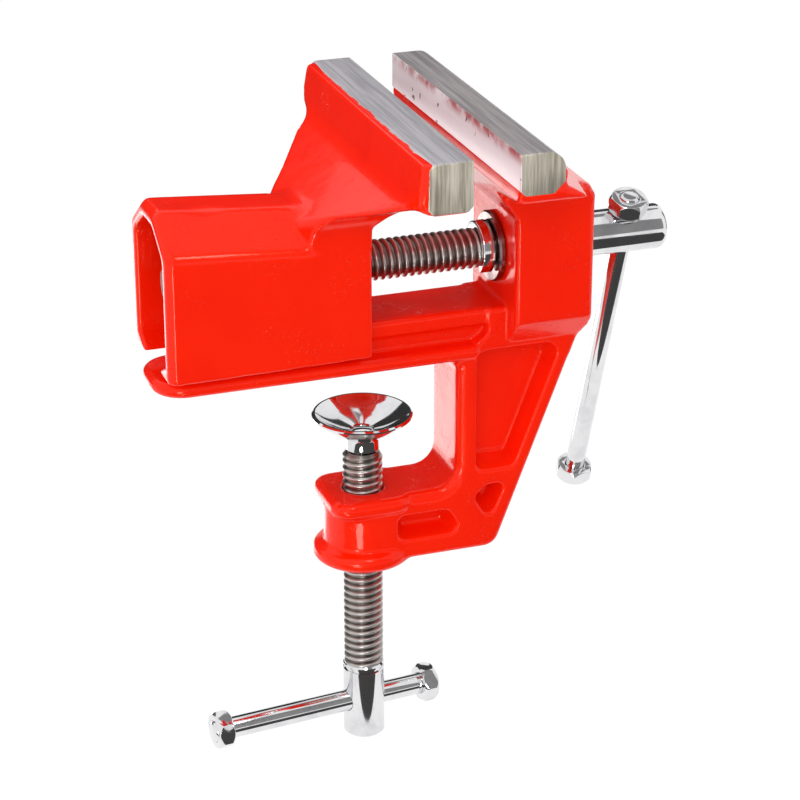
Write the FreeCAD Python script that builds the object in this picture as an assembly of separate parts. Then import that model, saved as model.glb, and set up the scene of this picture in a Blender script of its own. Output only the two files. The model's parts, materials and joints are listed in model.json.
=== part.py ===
"""Small clamp-on bench vise: a cast C-frame that clamps to a table edge, and a sliding jaw on a T-rail.

Millimetres. The origin is on the clamp screw's axis, in the face that lies on the table top.
+X runs along the lead screw from the sliding jaw to the fixed one, +Z is up.
"""
import FreeCAD, Part
import math
import os

from FreeCAD import Vector

# ---- driving dimensions -------------------------------------------------------------------

# lead screw and what holds it
screw_height = 20.2          # axis of the lead screw above the table face
screw_diameter = 8.0         # Tr8 x 1.5
screw_left_end = -39.0
screw_root_diameter = 6.3    # turned end, groove and tip diameters
screw_end_chamfer = 1.0
screw_end_step = 0.3         # the chamfer ends this far below the root diameter
head_diameter = 9.1
head_length = 19.4
head_round = 1.6             # the head's end is rounded off by two cones
head_handle_offset = 11.3    # from the block's outer face to the cross hole
washer_outer = 14.0
washer_thickness = 1.3
washer_edge = 0.3
ring_outer = 10.6
ring_width = 2.6
ring_edge = 0.5
ring_gap_angle = 70.0        # opening of the C-shaped ring, at the bottom

# jaws
jaw_width = 70.0
jaw_top = 50.3
jaw_gap = 9.0
fixed_face = 18.6            # X of the fixed working face
fixed_bar_thickness = 8.8
fixed_bar_height = 7.9
sliding_bar_thickness = 8.6
sliding_bar_height = 9.5
fixed_rear_round = 3.4       # upper rear corner of each bar
sliding_rear_round = 1.8
bar_front_chamfer = 1.0
fixed_bar_bevel = 2.2        # lower rear corner of each bar
sliding_bar_bevel = 1.0
fixed_lip = 0.5              # casting left standing behind each steel bar
sliding_lip = 0.7
fixed_lip_drop = 3.6         # how far the casting stays below the bars' tops
sliding_lip_drop = 0.15
seat_thickness = 1.6         # casting under the ends of the bars
fixed_flare_angle = 11.0     # rise of the flare's underside towards the jaw's ends
sliding_flare_angle = 20.5
flare_round = 7.0            # radius where the flare leaves the casting's side
flare_slope = 31.0           # slope of the flare's back

# block of the fixed jaw
block_left = 27.4
block_right = 43.6
block_half_width = 12.3
cast_edge = 1.2              # rounding of the castings' outer edges
block_taper_top = 8.0
block_taper_bottom = 2.0
block_foot = 7.0             # how far the block's sides run down over the column, below its kink
block_foot_inset = 0.4       # there they lie this far inside the column's faces
back_height = 3.1            # upright back of the fixed jaw's casting, above its slope
shoulder_cut = 1.5           # the corner between the block's outer face and the slope is cut off by this
corbel_foot = 29.6           # where the overhang of the fixed jaw meets the block

# C-frame
frame_half_width = 7.9
throat_x = 17.3              # inner face of the frame's column
throat_depth = 27.3          # opening for the table edge
arm_height = 14.1            # from the throat's floor to the underside of the arm
boss_drop = 1.1              # the boss reaches below the arm
column_kink = 5.0
column_corner = 5.0
gusset_width = 4.0           # top of the column, left of the block
gusset_slant = 3.0
gusset_round = 2.0
heel_x = 25.6
throat_corner = 2.6
arm_corner = 4.5
heel_corner = 3.2
frame_edge = 0.8
throat_edge = 1.4            # chamfer of the edges that face the table
web_half_width = 3.0
pocket_round = 2.2
pocket_foot_round = 1.6
pocket_mouth = 0.2           # its outline is drawn this far outside the frame's face
pocket_draft = 2.3           # how far a pocket's corners move in on the way down, on average
column_flange = 3.9
outer_flange = 3.0
pocket_top = 1.6
rib_rise = 2.9               # top of the rib between the pockets, above the throat's floor
rib_thickness = 3.0
heel_pocket_round = 0.19     # of the pocket in the heel, as a share of its width
heel_pocket_slant = 0.37     # its upper inner corner is cut off by this share of its width
heel_pocket_lean = 0.09
heel_pocket_rise = 1.4       # its lowest corner above the arm's flange
arm_flange = 0.31            # below the arm's pockets, as a share of the arm's height
arm_ledge = 0.31             # above the arm's pocket, as a share of the arm's height
arm_pocket_start = 4.6
arm_pocket_lean = 1.7        # half the slant of its end at the heel
arm_pocket_round = 0.3       # as a share of the pocket's height

# boss of the clamp screw
boss_flange_radius = 10.1
boss_waist_radius = 7.9
boss_square = 8.4            # the upper flange is cut off square at this distance
boss_side = 8.9
upper_flange_extra = 0.5     # the upper flange is this much larger in radius
boss_flange_height = 3.6
boss_edge = 1.0

# tongue and rail
tongue_half_width = 8.6
tongue_thickness = 3.0
tongue_tip = -43.2
tongue_corner = 6.4
tongue_edge = 0.8
tongue_root = 4.0            # how far it runs into the column
tongue_lap = 6.0             # how far the column's plate runs along inside it
plate_sink = 0.1             # the plate's top lies this far inside the tongue
rail_left = -34.0
rail_height = 10.2
rail_half_width = 7.2
rail_face_height = 3.2
rail_waist = 5.4
rail_undercut = 0.9
rail_edge = 0.7

# sleeve of the sliding jaw
sleeve_left = -42.0
sleeve_right = -1.7
sleeve_bottom = 4.9
sleeve_half_width = 12.0     # at the front wall
sleeve_top = 33.6
sleeve_shoulder = 27.4
sleeve_top_half_width = 4.5
side_draft = 1.2             # growth of each side towards the open end
top_draft = 3.1              # growth of the top and shoulders towards the open end
sleeve_wall = 3.2
sleeve_shoulder_round = 2.4
sleeve_top_round = 3.0
sleeve_rim = 1.3             # chamfer of the open end
knee_rise = 5.6              # the back of the flare steepens this far above the shoulders
knee_lean = 0.35             # its steep part leans back by this share of its rise
slope_rise = 1.6             # top of the fan's slope above the bar's seat
fan_back = 5.0               # half-width of the fan where it leaves the sleeve
fan_draft = 0.2              # the fan's foot is wider than the front wall by this share of the draft
nose_height = 4.0            # upright front of the fan, above the shoulders
strip_toe = 0.8              # how far the strip's lower edge lies in front of its lip
strip_overhang = 1.4         # how far the foot of the bar's strip reaches out behind its top
strip_floor = 0.5            # casting under the bar at the jaw's ends
nut_wall_length = 13.0       # solid wall that carries the lead screw's thread

# clamp screw, pad and handles
clamp_diameter = 8.0         # Tr8 x 1.5
pad_height = -11.4           # the pad's rim below the table face, as drawn
pad_radius = 10.0
pad_depth = 5.2
pad_rim = 0.7
pad_neck_diameter = 6.8
pad_neck_length = 2.6
knob_radius = 2.3            # turned end of the clamp screw inside the pad's neck
knob_neck_radius = 1.7
knob_drop = 3.4              # from the pad's rim to the knob's top
knob_length = 3.4
knob_neck_length = 2.0
clamp_reach = 24.2           # thread showing below the boss, as drawn
barrel_length = 16.3
barrel_diameter = 8.4
barrel_edge = 0.5
screw_lead_in = 0.7
clamp_handle_drop = 8.7      # from the barrel's top to its cross hole

lead_handle_diameter = 4.0
lead_handle_length = 75.0
lead_handle_tilt = 19.0      # from the vertical, the long end swings towards +Y
clamp_handle_diameter = 4.4
clamp_handle_length = 48.9
clamp_handle_shift = -8.75   # middle of the bar from the clamp screw's axis
clamp_handle_turn = 6.1
nut_flats = 7.0
nut_thickness = 3.2
nut_chamfer = 0.4            # height of the chamfer on a nut's outer side
nut_chamfer_spread = 1.6     # its width, as a share of its height
handle_end_dome = 0.5        # how far a bar's end stands out of its nut

# clearances
running_fit = 0.06           # radial, screws in their bores
handle_fit = 0.08            # radial, bars in their cross holes
slide_gap = 0.35             # sliding jaw from the rail
face_gap = 0.1               # lead screw's head from the block
ring_gap = 0.25              # retaining ring from the washer
knob_fit = 0.08
stop_gap = 0.3               # nuts from the heads they stop against
ring_side_gap = 0.05         # ring from its groove's sides

# construction
lap = 1.0                    # how far shapes that are united run into each other
spare = 5.0                  # how far cutting shapes stand out of what they cut
same = 1e-4                  # lengths closer than this are taken as equal

# ---- derived positions --------------------------------------------------------------------

sliding_face = fixed_face - jaw_gap
half_jaw = jaw_width / 2
frame_depth = throat_depth + arm_height
boss_bottom = -frame_depth - boss_drop
pocket_bottom = rib_rise - throat_depth
head_start = block_right + face_gap
lead_handle_x = block_right + head_handle_offset
ring_right = block_left - washer_thickness - ring_gap
ring_left = ring_right - ring_width
pad_neck_bottom = pad_height - pad_depth - pad_neck_length
knob_top = pad_height - knob_drop
knob_bottom = knob_top - knob_length
barrel_top = boss_bottom - clamp_reach
barrel_bottom = barrel_top - barrel_length
clamp_handle_z = barrel_top - clamp_handle_drop
rail_waist_top = rail_height - rail_face_height - rail_undercut


# ---- helpers ------------------------------------------------------------------------------

def place(plane, u, v, at=0.0):
    """A point given in one of the main planes, with its place along the third axis."""
    if plane == "xz":
        return Vector(u, at, v)
    if plane == "yz":
        return Vector(at, u, v)
    return Vector(u, v, at)


def outline(plane, corners, at=0.0):
    """A closed wire through corners (u, v, radius), each rounded with its own radius."""
    count = len(corners)
    starts = []
    ends = []
    middles = []
    for i, (u, v, radius) in enumerate(corners):
        here = Vector(u, v, 0)
        before = Vector(corners[i - 1][0], corners[i - 1][1], 0)
        after = Vector(corners[(i + 1) % count][0], corners[(i + 1) % count][1], 0)
        back = (before - here).normalize()
        ahead = (after - here).normalize()
        half = back.getAngle(ahead) / 2
        reach = radius / math.tan(half) if radius else 0.0
        starts.append(here + back * reach)
        ends.append(here + ahead * reach)
        bisector = (back + ahead)
        if radius:
            bisector.normalize()
            middles.append(here + bisector * (radius / math.sin(half) - radius))
        else:
            middles.append(here)
    edges = []
    for i in range(count):
        here = [place(plane, p.x, p.y, at) for p in (starts[i], middles[i], ends[i])]
        following = place(plane, starts[(i + 1) % count].x, starts[(i + 1) % count].y, at)
        if corners[i][2]:
            edges.append(Part.Arc(*here).toShape())
        if here[2].distanceToPoint(following) > 1e-6:
            edges.append(Part.LineSegment(here[2], following).toShape())
    return Part.Wire(edges)


def prism(plane, corners, low, high):
    """The rounded outline carried from low to high along the plane's normal."""
    normal = {"xz": Vector(0, 1, 0), "yz": Vector(1, 0, 0), "xy": Vector(0, 0, 1)}[plane]
    face = Part.Face(outline(plane, corners, low))
    return face.extrude(normal * (high - low))


def mirrored(corners):
    """Corners for +u carried round to -u, for outlines that are the same on both sides."""
    return corners + [(-u, v, r) for u, v, r in reversed(corners)]


def rod(radius, start, end):
    """A cylinder between two points."""
    axis = end - start
    return Part.makeCylinder(radius, axis.Length, start, axis)


def turned(points, axis_point, axis):
    """A solid of revolution from (along, radius) points about an axis."""
    side = axis.cross(Vector(1, 0.3, 0.2)).normalize()
    wire = Part.makePolygon([axis_point + axis * a + side * r for a, r in points + points[:1]])
    return Part.Face(wire).revolve(axis_point, axis, 360)


def broken_edges(solid, size, wanted=lambda box: True):
    """Chamfer the edges that the test picks out."""
    edges = [e for e in solid.Edges if wanted(e.BoundBox)]
    return solid.makeChamfer(size, edges)


def rounded_edges(solid, radius, wanted):
    """Fillet the edges that the test picks out."""
    edges = [e for e in solid.Edges if wanted(e.BoundBox)]
    return solid.makeFillet(radius, edges)


def union(shapes):
    return shapes[0].multiFuse(shapes[1:]).removeSplitter()


def save(name, shape):
    shape.exportStep("parts/" + name + ".step")


def crosses_middle(box):
    """An edge that runs from one side of the casting to the other."""
    return box.YMin * box.YMax <= 0 and box.YLength > same


# ---- jaws ---------------------------------------------------------------------------------

def jaw_bar(face, thickness, height, rear_round, bevel, back):
    """A ground steel jaw bar. back is +1 where the bar's back looks towards +X."""
    rear = face + back * thickness
    low = jaw_top - height
    corners = [
        (face, jaw_top, 0.0),
        (rear, jaw_top, rear_round),
        (rear, low + bevel, 0.0),
        (rear - back * bevel, low, 0.0),
        (face + back * bar_front_chamfer, low, 0.0),
        (face, low + bar_front_chamfer, 0.0),
    ]
    return prism("xz", corners, -half_jaw, half_jaw)


def fixed_bar():
    return jaw_bar(fixed_face, fixed_bar_thickness, fixed_bar_height, fixed_rear_round, fixed_bar_bevel, 1)


def sliding_bar():
    return jaw_bar(
        sliding_face, sliding_bar_thickness, sliding_bar_height, sliding_rear_round, sliding_bar_bevel, -1)


def flared_head(half_width, end_low, angle, foot, side_view):
    """A casting that flares out to the jaw's width, from its end view and its side view."""
    rise = (half_jaw - half_width) * math.tan(math.radians(angle))
    end_view = mirrored(foot + [
        (half_width, end_low - rise, flare_round),
        (half_jaw, end_low, 0.0),
        (half_jaw, jaw_top, 0.0),
    ])
    low_x = min(x for x, z, r in side_view)
    high_x = max(x for x, z, r in side_view)
    head = prism("yz", end_view, low_x, high_x).common(prism("xz", side_view, -half_jaw, half_jaw))
    return head.Solids[0]


# ---- base casting -------------------------------------------------------------------------

def heel_line(z):
    """X of the frame's outer edge at a height below the kink."""
    share = (column_kink - z) / (column_kink + frame_depth)
    return block_right + (heel_x - block_right) * share


def c_frame():
    block_start = block_left - gusset_width
    plate_end = throat_x - tongue_lap
    corners = [
        (throat_x, 0.0, throat_corner),
        (throat_x, -throat_depth, arm_corner),
        (0.0, -throat_depth, 0.0),
        (0.0, -frame_depth, 0.0),
        (heel_x, -frame_depth, heel_corner),
        (block_right, column_kink, column_corner),
        (block_right, rail_height, 0.0),
        (block_start, rail_height, 0.0),
        (block_start, column_kink, gusset_round),
        (block_start - gusset_slant, tongue_thickness - plate_sink, 0.0),
        (plate_end, tongue_thickness - plate_sink, 0.0),
        (plate_end, 0.0, 0.0),
    ]
    plate = prism("xz", corners, -frame_half_width, frame_half_width)
    plate = broken_edges(plate, throat_edge, throat_rim)
    return broken_edges(plate, frame_edge, heel_rim)


def throat_rim(box):
    """Edges of the plate's two faces along the opening for the table."""
    flat = box.YLength < same and abs(box.YMax) > frame_half_width - same
    inside = box.XMin > same and box.XMax < throat_x + same
    return flat and inside and -throat_depth - same < box.ZMin < -same


def heel_rim(box):
    """Edges of the plate's two faces along its outside, from the boss up to the block."""
    flat = box.YLength < same and abs(box.YMax) > frame_half_width - same
    outside = box.ZMax < -throat_depth - same or box.XMin > heel_x
    return flat and outside and box.XMax > same and box.ZMax < column_kink + column_corner / 2


def pocket(corners, side):
    """A drafted recess from one face of the frame down to the web."""
    outer = outline("xz", corners, side * (frame_half_width + pocket_mouth))
    middle_x = sum(x for x, z, r in corners) / len(corners)
    middle_z = sum(z for x, z, r in corners) / len(corners)
    reach = sum(math.hypot(x - middle_x, z - middle_z) for x, z, r in corners) / len(corners)
    share = pocket_draft / reach
    floor = [
        (x + (middle_x - x) * share, z + (middle_z - z) * share, r * (1 - share))
        for x, z, r in corners]
    inner = outline("xz", floor, side * web_half_width)
    return Part.makeLoft([outer, inner], True, True)


def frame_pockets():
    column_left = throat_x + column_flange
    rib_bottom = pocket_bottom - rib_thickness
    upper = [
        (column_left, pocket_top, pocket_round),
        (heel_line(pocket_top) - outer_flange, pocket_top, pocket_round),
        (heel_line(pocket_bottom) - outer_flange, pocket_bottom, pocket_foot_round),
        (column_left, pocket_bottom, pocket_foot_round),
    ]
    heel_low = -frame_depth + arm_flange * arm_height
    heel_tip = heel_low + heel_pocket_rise
    heel_right = heel_line(rib_bottom) - outer_flange
    width = heel_right - column_left
    slant = heel_pocket_slant * width
    lean = heel_pocket_lean * width
    heel_round = heel_pocket_round * width
    lower = [
        (column_left - lean, rib_bottom - slant, heel_round),
        (column_left + slant, rib_bottom, heel_round),
        (heel_right, rib_bottom, heel_round),
        (heel_line(heel_tip) - outer_flange - lean, heel_tip, heel_round),
    ]
    arm_top = -throat_depth - arm_ledge * arm_height
    arm_round = arm_pocket_round * (arm_top - heel_low)
    arm = [
        (arm_pocket_start, arm_top, arm_round),
        (throat_x - arm_pocket_lean, arm_top, arm_round),
        (throat_x + arm_pocket_lean, heel_low, arm_round),
        (arm_pocket_start, heel_low, arm_round),
    ]
    return [pocket(p, side) for p in (upper, lower, arm) for side in (-1, 1)]


def clamp_boss():
    height = -throat_depth - boss_bottom
    waist = rod(boss_waist_radius, Vector(0, 0, boss_bottom), Vector(0, 0, -throat_depth))
    lower = Part.makeCylinder(boss_flange_radius, boss_flange_height, Vector(0, 0, boss_bottom))
    upper = Part.makeCylinder(
        boss_flange_radius + upper_flange_extra, boss_flange_height,
        Vector(0, 0, -throat_depth - boss_flange_height))
    square = Part.makeBox(
        boss_square + 2 * boss_flange_radius, 2 * boss_side, height,
        Vector(-boss_square, -boss_side, boss_bottom))
    upper = upper.common(square)
    return [waist, broken_edges(lower, boss_edge), broken_edges(upper, boss_edge)]


def tongue():
    reach = throat_x + tongue_root
    corners = [
        (tongue_tip, tongue_half_width, tongue_corner),
        (reach, tongue_half_width, 0.0),
        (reach, -tongue_half_width, 0.0),
        (tongue_tip, -tongue_half_width, tongue_corner),
    ]
    strip = prism("xy", corners, 0.0, tongue_thickness)
    return broken_edges(strip, tongue_edge, lambda box: box.ZLength < same and box.XMin < reach - same)


def rail_section(gap, edge):
    """The T-rail seen along X. gap grows it all round for the slot in the sliding jaw."""
    neck_top = rail_waist_top - gap
    return mirrored([
        (rail_waist + gap, tongue_thickness - lap, 0.0),
        (rail_waist + gap, neck_top, 0.0),
        (rail_half_width + gap, neck_top + rail_undercut, edge),
        (rail_half_width + gap, rail_height + gap, rail_edge),
    ])


def block_side():
    """The block and its jaw head seen along Y."""
    foot = column_kink - block_foot
    seat = jaw_top - fixed_bar_height
    lip_x = fixed_face + fixed_bar_thickness + fixed_lip
    lip_top = jaw_top - fixed_lip_drop
    slope_top = lip_top - back_height
    slope = math.tan(math.radians(flare_slope))
    shoulder = slope_top - (block_right - lip_x) * slope
    return [
        (block_left, foot, 0.0),
        (heel_line(foot), foot, 0.0),
        (block_right, column_kink, 0.0),
        (block_right, shoulder - shoulder_cut, 0.0),
        (block_right - shoulder_cut, shoulder + shoulder_cut * slope, 0.0),
        (lip_x, slope_top, 0.0),
        (lip_x, lip_top, 0.0),
        (fixed_face, lip_top, 0.0),
        (fixed_face, seat - seat_thickness, 0.0),
        (block_left, corbel_foot, 0.0),
    ]


def block():
    foot = [
        (frame_half_width - block_foot_inset, column_kink - block_foot, 0.0),
        (frame_half_width - block_foot_inset, block_taper_bottom, 0.0),
        (block_half_width, block_taper_top, 0.0),
    ]
    end_low = jaw_top - fixed_bar_height - seat_thickness
    solid = flared_head(block_half_width, end_low, fixed_flare_angle, foot, block_side())

    def upright(box):
        """The block's four upright edges, from its taper to where the jaw head flares out."""
        on_side = box.YLength < same and abs(abs(box.YMin) - block_half_width) < same
        return on_side and box.XLength < same and box.ZMin > block_taper_top - same

    return rounded_edges(solid, cast_edge, upright)


def base_casting():
    rail = prism("yz", rail_section(0.0, rail_edge), rail_left, block_left + lap)
    body = union([c_frame(), tongue(), rail, block()] + clamp_boss())
    for recess in frame_pockets():
        body = body.cut(recess)
    axis = Vector(0, 0, screw_height)
    lead_bore = rod(screw_diameter / 2 + running_fit, axis + Vector(block_left - spare, 0, 0),
                    axis + Vector(block_right + spare, 0, 0))
    clamp_bore = rod(clamp_diameter / 2 + running_fit, Vector(0, 0, boss_bottom - spare),
                     Vector(0, 0, -throat_depth + spare))
    return body.cut(lead_bore).cut(clamp_bore).cut(fixed_bar())


# ---- sliding jaw --------------------------------------------------------------------------

def sleeve_section(x, wall):
    """The arch of the sleeve at a place along X, smaller by a wall thickness all round."""
    share = (sleeve_right - x) / (sleeve_right - sleeve_left)
    up = top_draft * share
    half_width = sleeve_half_width + side_draft * share
    facet = math.atan2(sleeve_top - sleeve_shoulder, sleeve_half_width - sleeve_top_half_width)
    shoulder_drop = wall * math.tan((math.pi / 2 - facet) / 2)
    top_shift = wall * math.tan(facet / 2)
    bottom = sleeve_bottom - (spare if wall else 0.0)
    return outline("yz", mirrored([
        (half_width - wall, bottom, 0.0),
        (half_width - wall, sleeve_shoulder + up - shoulder_drop, sleeve_shoulder_round),
        (sleeve_top_half_width - top_shift, sleeve_top + up - wall, sleeve_top_round),
    ]), x)


def sleeve_shell():
    shell = Part.makeLoft([sleeve_section(sleeve_left, 0.0), sleeve_section(sleeve_right, 0.0)], True, True)

    def rim(box):
        """Edges of the arch at the open end, without the legs' lower edges."""
        return box.XLength < same and box.XMax < sleeve_left + same and box.ZMax > sleeve_bottom + same

    return broken_edges(shell, sleeve_rim, rim)


def sleeve_hollow():
    """The room inside the sleeve, which leaves the guide ledges on the legs."""
    nut_left = sleeve_right - nut_wall_length
    hollow = Part.makeLoft(
        [sleeve_section(sleeve_left - lap, sleeve_wall), sleeve_section(nut_left, sleeve_wall)], True, True)
    for ledge in ledge_pair():
        hollow = hollow.cut(ledge)
    return hollow


def ledge_pair():
    """Guide ledges inside the sleeve's legs, under the head of the rail."""
    slope = rail_undercut / (rail_half_width - rail_waist)
    inner = rail_waist + slide_gap
    outer = sleeve_half_width + spare
    low = sleeve_bottom - 2 * spare
    top = rail_waist_top - slide_gap
    ledges = []
    for side in (-1, 1):
        corners = [
            (side * inner, low, 0.0),
            (side * outer, low, 0.0),
            (side * outer, top + (outer - inner) * slope, 0.0),
            (side * inner, top, 0.0),
        ]
        ledges.append(prism("yz", corners, sleeve_left - spare, sleeve_right + spare))
    return ledges


def wing():
    """The fan-shaped head of the sliding jaw, down to the sleeve's shoulders."""
    seat = jaw_top - sliding_bar_height
    end_low = seat - strip_floor
    lip_x = sliding_face - sliding_bar_thickness - sliding_lip
    slope = math.tan(math.radians(flare_slope))
    slope_top = seat + slope_rise
    knee_z = sleeve_shoulder + knee_rise
    knee_x = lip_x - (slope_top - knee_z) / slope
    foot_x = knee_x - knee_rise * knee_lean
    plan_x = foot_x - lap
    side_view = [
        (foot_x, sleeve_shoulder, 0.0),
        (knee_x, knee_z, 0.0),
        (lip_x, slope_top, 0.0),
        (sliding_face, slope_top, 0.0),
        (sliding_face, seat, 0.0),
        (sleeve_right, sleeve_shoulder + nose_height, 0.0),
        (sleeve_right, sleeve_shoulder, 0.0),
    ]
    half_width = sleeve_half_width + fan_draft * side_draft
    foot = [(half_width, sleeve_shoulder, 0.0)]
    fan = flared_head(half_width, slope_top, sliding_flare_angle, foot, side_view)
    plan = [
        (lip_x, half_jaw, 0.0),
        (plan_x, fan_back, 0.0),
        (plan_x, -fan_back, 0.0),
        (lip_x, -half_jaw, 0.0),
        (sliding_face, -half_jaw, 0.0),
        (sliding_face, half_jaw, 0.0),
    ]
    fan = fan.common(prism("xy", plan, sleeve_shoulder, jaw_top))
    strip = prism("xz", [
        (lip_x - strip_overhang, slope_top - strip_overhang * slope, 0.0),
        (lip_x + strip_toe, end_low, 0.0),
        (sliding_face, end_low, 0.0),
        (sliding_face, jaw_top - sliding_lip_drop, 0.0),
        (lip_x, jaw_top - sliding_lip_drop, 0.0),
    ], -half_jaw, half_jaw)
    return union([fan, strip])


def sliding_jaw():
    body = union([sleeve_shell(), wing()])
    body = body.cut(sleeve_hollow())
    body = body.cut(prism("yz", rail_section(slide_gap, 0.0), sleeve_left - spare, sleeve_right + spare))
    axis = Vector(0, 0, screw_height)
    bore = rod(screw_diameter / 2 + running_fit, axis + Vector(sleeve_right - nut_wall_length - lap, 0, 0),
               axis + Vector(sleeve_right + spare, 0, 0))
    return body.cut(bore).cut(sliding_bar())


# ---- screws, washer, ring -----------------------------------------------------------------

def lead_handle_axis():
    angle = math.radians(lead_handle_tilt)
    return Vector(0, -math.sin(angle), math.cos(angle))


def lead_screw():
    axis = Vector(1, 0, 0)
    start = Vector(0, 0, screw_height)
    radius = screw_diameter / 2
    root = screw_root_diameter / 2
    end = head_start + head_length - face_gap
    half_round = head_round * (1 - math.cos(math.radians(45)))
    points = [
        (screw_left_end, 0.0),
        (screw_left_end, root - screw_end_step),
        (screw_left_end + screw_end_chamfer, radius),
        (ring_left, radius),
        (ring_left, root),
        (ring_right, root),
        (ring_right, radius),
        (head_start, radius),
        (head_start, head_diameter / 2),
        (end - head_round, head_diameter / 2),
        (end - half_round, head_diameter / 2 - half_round),
        (end, head_diameter / 2 - head_round),
        (end, 0.0),
    ]
    screw = turned(points, start, axis)
    middle = Vector(lead_handle_x, 0, screw_height)
    along = lead_handle_axis() * head_diameter
    return screw.cut(rod(lead_handle_diameter / 2 + handle_fit, middle - along, middle + along))


def thrust_washer():
    left = Vector(block_left - washer_thickness, 0, screw_height)
    disc = Part.makeCylinder(washer_outer / 2, washer_thickness, left, Vector(1, 0, 0))
    disc = broken_edges(disc, washer_edge, lambda box: box.XMax < left.x + same)
    hole = rod(screw_diameter / 2 + running_fit, left - Vector(spare, 0, 0),
               left + Vector(spare, 0, 0))
    return disc.cut(hole)


def retaining_ring():
    left = Vector(ring_left + ring_side_gap, 0, screw_height)
    width = ring_width - 2 * ring_side_gap
    ring = Part.makeCylinder(ring_outer / 2, width, left, Vector(1, 0, 0))
    ring = broken_edges(ring, ring_edge, lambda box: box.XMax < left.x + same)
    ring = ring.cut(rod(screw_root_diameter / 2, left - Vector(spare, 0, 0), left + Vector(spare, 0, 0)))
    half = math.tan(math.radians(ring_gap_angle / 2)) * ring_outer
    wedge = prism("yz", [
        (0.0, screw_height, 0.0),
        (-half, screw_height - ring_outer, 0.0),
        (half, screw_height - ring_outer, 0.0),
    ], ring_left - lap, ring_right + lap)
    return ring.cut(wedge)


def clamp_handle_axis():
    angle = math.radians(clamp_handle_turn)
    return Vector(math.cos(angle), math.sin(angle), 0)


def knob_profile(gap):
    """The turned end that holds the pad, as (height, radius) points. gap grows it all round."""
    return [
        (knob_bottom - knob_neck_length, 0.0),
        (knob_bottom - knob_neck_length, knob_neck_radius + gap),
        (knob_bottom - gap, knob_neck_radius + gap),
        (knob_bottom - gap, knob_radius + gap),
        (knob_top + gap, knob_radius + gap),
        (knob_top + gap, 0.0),
    ]


def clamp_screw():
    radius = clamp_diameter / 2
    thread_top = pad_neck_bottom - stop_gap
    screw = rod(radius, Vector(0, 0, barrel_top - lap), Vector(0, 0, thread_top))
    screw = broken_edges(screw, screw_lead_in, lambda box: box.ZMin > thread_top - same)
    knob = turned(knob_profile(0.0), Vector(0, 0, 0), Vector(0, 0, 1))
    barrel = rod(barrel_diameter / 2, Vector(0, 0, barrel_bottom), Vector(0, 0, barrel_top))
    barrel = broken_edges(barrel, barrel_edge, lambda box: box.ZLength < same)
    body = union([screw, knob, barrel])
    middle = Vector(0, 0, clamp_handle_z)
    along = clamp_handle_axis() * barrel_diameter
    return body.cut(rod(clamp_handle_diameter / 2 + handle_fit, middle - along, middle + along))


def clamp_pad():
    """A dished pad with its neck closed in round the knob of the clamp screw."""
    neck = pad_neck_diameter / 2
    foot = pad_height - pad_depth
    up = Vector(0, 0, 1)
    pad = turned([
        (foot + pad_rim, 0.0),
        (pad_height, pad_radius - pad_rim),
        (pad_height, pad_radius - pad_rim / 2),
        (pad_height - pad_rim / 2, pad_radius),
        (pad_height - pad_rim, pad_radius),
        (foot, neck),
        (pad_neck_bottom, neck),
        (pad_neck_bottom, 0.0),
    ], Vector(0, 0, 0), up)
    return pad.cut(turned(knob_profile(knob_fit), Vector(0, 0, 0), up))


# ---- handles ------------------------------------------------------------------------------

def handle_bar(diameter, length, middle, axis):
    """A straight bar with chamfered ends, which show in the middle of its end nuts."""
    half = axis * (length / 2 + handle_end_dome)
    bar = rod(diameter / 2, middle - half, middle + half)
    ends = [e for e in bar.Edges if e.Curve.TypeId == "Part::GeomCircle"]
    return bar.makeChamfer(handle_end_dome, ends)


def handle_nut(diameter, outer_end, axis):
    """A chamfered hexagon nut that ends flush with a bar's end. axis points outwards."""
    across = nut_flats / math.cos(math.radians(30))
    start = outer_end - axis * nut_thickness
    side = axis.cross(Vector(1, 0.3, 0.2)).normalize()
    points = []
    for i in range(7):
        turn = FreeCAD.Rotation(axis, 60.0 * i)
        points.append(start + turn.multVec(side) * (across / 2))
    hexagon = Part.Face(Part.makePolygon(points)).extrude(axis * nut_thickness)
    crown = turned([
        (0.0, 0.0),
        (0.0, across / 2),
        (nut_thickness - nut_chamfer, across / 2),
        (nut_thickness, across / 2 - nut_chamfer * nut_chamfer_spread),
        (nut_thickness, 0.0),
    ], start, axis)
    nut = hexagon.common(crown)
    return nut.cut(rod(diameter / 2, start - axis, outer_end + axis))


def lead_handle():
    """Bar and nuts of the lead screw's handle, slid down so that its upper nut is on the head."""
    axis = lead_handle_axis()
    reach = head_diameter / 2 + stop_gap + nut_thickness
    top = Vector(lead_handle_x, 0, screw_height) + axis * reach
    bottom = top - axis * lead_handle_length
    bar = handle_bar(lead_handle_diameter, lead_handle_length, (top + bottom) * 0.5, axis)
    upper = handle_nut(lead_handle_diameter, top, axis)
    lower = handle_nut(lead_handle_diameter, bottom, axis * -1)
    return bar, upper, lower


def clamp_handle():
    axis = clamp_handle_axis()
    middle = Vector(0, 0, clamp_handle_z) + axis * clamp_handle_shift
    half = axis * (clamp_handle_length / 2)
    bar = handle_bar(clamp_handle_diameter, clamp_handle_length, middle, axis)
    left = handle_nut(clamp_handle_diameter, middle - half, axis * -1)
    right = handle_nut(clamp_handle_diameter, middle + half, axis)
    return bar, left, right


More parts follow.
